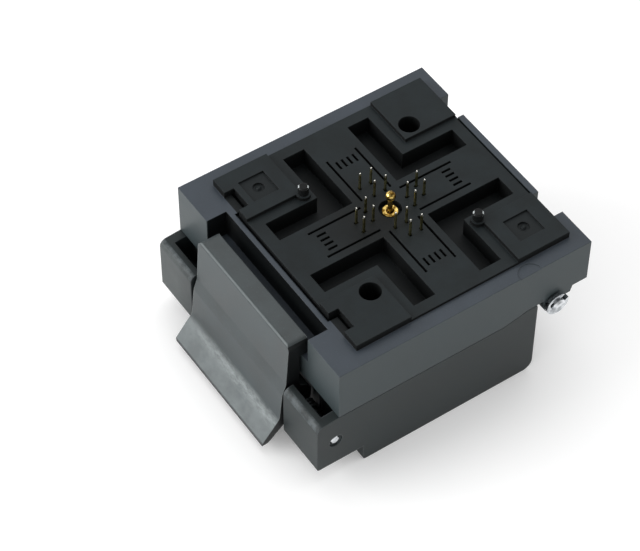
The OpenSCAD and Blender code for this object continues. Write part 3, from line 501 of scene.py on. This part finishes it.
def makeSpring(name, look):
    low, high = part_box(look["node"])
    radius = look["diameter"] / 2 * mm
    wire = look["wire"] / 2 * mm
    middle = (low + high) / 2
    centre = (middle.x + look["side"][0] * ((high.x - low.x) / 2 - radius),
              middle.y + look["side"][1] * ((high.y - low.y) / 2 - radius))
    foot = low.z + (high.z - low.z) * look["span"][0]
    head = low.z + (high.z - low.z) * look["span"][1]
    coil = radius - wire
    steps, sides, turns = springMesh["steps"], springMesh["sides"], look["turns"]
    closed = springMesh["closed"]
    rise = head - foot - 4 * wire
    form = bmesh.new()
    rings = []
    for i in range(int(turns * steps) + 1):
        turn = i / steps
        # a nearly full closed turn at each end, and the open turns between them
        share = min(max((turn - closed) / (turns - 2 * closed), 0.0), 1.0)
        lift = (min(turn, closed) + max(turn - turns + closed, 0.0)) / closed
        angle = 2 * math.pi * turn
        outward = Vector((math.cos(angle), math.sin(angle), 0))
        height = foot + wire + lift * wire + share * rise
        middleOfWire = Vector((centre[0], centre[1], height)) + outward * coil
        ring = []
        for k in range(sides):
            bearing = 2 * math.pi * k / sides
            rim = math.cos(bearing) * outward + math.sin(bearing) * Vector((0, 0, 1))
            ring.append(form.verts.new(middleOfWire + wire * rim))
        rings.append(ring)
    for before, after in zip(rings, rings[1:]):
        for k in range(sides):
            form.faces.new((before[k], before[(k + 1) % sides], after[(k + 1) % sides], after[k]))
    form.faces.new(list(reversed(rings[0])))
    form.faces.new(rings[-1])
    bmesh.ops.recalc_face_normals(form, faces=form.faces)
    mesh = bpy.data.meshes.new(name)
    form.to_mesh(mesh)
    form.free()
    for face in mesh.polygons:
        face.use_smooth = True
    mesh.materials.append(finishes["wire"])
    spring = bpy.data.objects.new(name, mesh)
    scene.collection.objects.link(spring)
    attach(spring, look["body"])
    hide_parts(look["node"])
    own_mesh(spring)


for springName, look in springs.items():
    makeSpring(springName, look)
print("springs made:", len(springs))

# A plain white sweep. skyTop is how bright the room is overhead, as the gloss sees it
studio = dict(floorSize=3.0, floorDrop=0.02, floorTone=0.90, floorLift=0.17, skyLight=0.72, skyTop=0.22)


def makeFloor():
    mesh = bpy.data.meshes.new("studioFloor")
    form = bmesh.new()
    bmesh.ops.create_grid(form, x_segments=1, y_segments=1, size=studio["floorSize"] / 2)
    form.to_mesh(mesh)
    form.free()
    floor = bpy.data.objects.new("studioFloor", mesh)
    scene.collection.objects.link(floor)
    floor.location = (0, 0, cadLow.z - studio["floorDrop"] * mm)
    # white paper: dead matt, lifted a little where the camera or a gloss sees it
    material = bpy.data.materials.new("whitePaperSweep")
    material.use_nodes = True
    tree = material.node_tree
    tree.nodes.clear()
    paper = addNode(tree, "BsdfDiffuse", dict(Color=grey(studio["floorTone"])))
    seen = addNode(tree, "LightPath")
    glossy = addNode(tree, "Math", dict(operation="MAXIMUM"), i0=(seen, "Is Camera Ray"),
                     i1=(seen, "Is Glossy Ray"))
    clear = addNode(tree, "Math", dict(operation="MAXIMUM"), i0=(glossy, "Value"),
                    i1=(seen, "Is Transmission Ray"))
    lift = addNode(tree, "Math", dict(operation="MULTIPLY"), i0=(clear, "Value"),
                   i1=studio["floorLift"])
    glow = addNode(tree, "Emission", Strength=(lift, "Value"))
    both = addNode(tree, "AddShader", i0=(paper, "BSDF"), i1=(glow, "Emission"))
    addNode(tree, "OutputMaterial", Surface=(both, "Shader"))
    mesh.materials.append(material)


def makeSky():
    world = bpy.data.worlds.new("studioSky")
    scene.world = world
    world.use_nodes = True
    tree = world.node_tree
    tree.nodes.clear()
    seen = addNode(tree, "LightPath")
    glossy = addNode(tree, "Math", dict(operation="MAXIMUM"), i0=(seen, "Is Glossy Ray"),
                     i1=(seen, "Is Transmission Ray"))
    direction = addNode(tree, "TexCoord")
    at = addNode(tree, "SeparateXYZ", Vector=(direction, "Generated"))
    fade = addNode(tree, "ValToRGB", dict(stops=[(0.15, grey(1.0)), (0.62, grey(studio["skyTop"]))]),
                   Fac=(at, "Z"))
    plain = addNode(tree, "Background", dict(Color=grey(1.0), Strength=studio["skyLight"]))
    sweep = addNode(tree, "Background", dict(Strength=1.0), Color=(fade, "Color"))
    white = addNode(tree, "Background", dict(Color=grey(1.0), Strength=1.0))
    lit = addNode(tree, "MixShader", i0=(glossy, "Value"), i1=(plain, "Background"),
                  i2=(sweep, "Background"))
    mixed = addNode(tree, "MixShader", i0=(seen, "Is Camera Ray"), i1=(lit, "Shader"),
                    i2=(white, "Background"))
    addNode(tree, "OutputWorld", Surface=(mixed, "Shader"))


# Each lamp: where it hangs, its size in metres and its power in watts
lamps = {
    "windowLeft": dict(place=(-0.30, -0.55, 0.28), width=0.5, height=0.35, power=3.0),
    "ceiling": dict(place=(-0.30, 0.35, 0.89), width=1.0, height=1.0, power=3.5),
}


def makeLamp(name, lamp):
    data = bpy.data.lights.new(name, "AREA")
    data.shape = "RECTANGLE"
    data.size, data.size_y = lamp["width"], lamp["height"]
    data.energy = lamp["power"]
    light = bpy.data.objects.new(name, data)
    scene.collection.objects.link(light)
    light.location = lamp["place"]
    light.rotation_mode = "QUATERNION"
    light.rotation_quaternion = (-Vector(lamp["place"])).to_track_quat("-Z", "Y")


makeFloor()
makeSky()
for lampName, lamp in lamps.items():
    makeLamp(lampName, lamp)
print("studio ready")

# Azimuth from -Y towards +X, elevation above the floor and roll, in degrees; place in metres
cameraSetup = dict(azimuth=55.682, elevation=50.584, roll=0.321, place=(0.12664, -0.09143, 0.19751),
                   sensor=36.0, lens=139.892)


def makeCamera(setup):
    azimuth, elevation, roll = (math.radians(setup[key]) for key in ("azimuth", "elevation", "roll"))
    outward = math.cos(elevation)
    back = Vector((math.sin(azimuth) * outward, -math.cos(azimuth) * outward, math.sin(elevation)))
    level = Vector((0, 0, 1)).cross(back).normalized()
    upright = back.cross(level)
    right = math.cos(roll) * level + math.sin(roll) * upright
    up = -math.sin(roll) * level + math.cos(roll) * upright
    data = bpy.data.cameras.new("camera")
    data.sensor_width, data.lens = setup["sensor"], setup["lens"]
    data.clip_start, data.clip_end = 0.01, 10
    camera = bpy.data.objects.new("camera", data)
    scene.collection.objects.link(camera)
    turned = Matrix((right, up, back)).transposed().to_4x4()
    camera.matrix_world = Matrix.Translation(setup["place"]) @ turned
    scene.camera = camera


makeCamera(cameraSetup)
scene.view_settings.view_transform = "Standard"
print("camera ready")
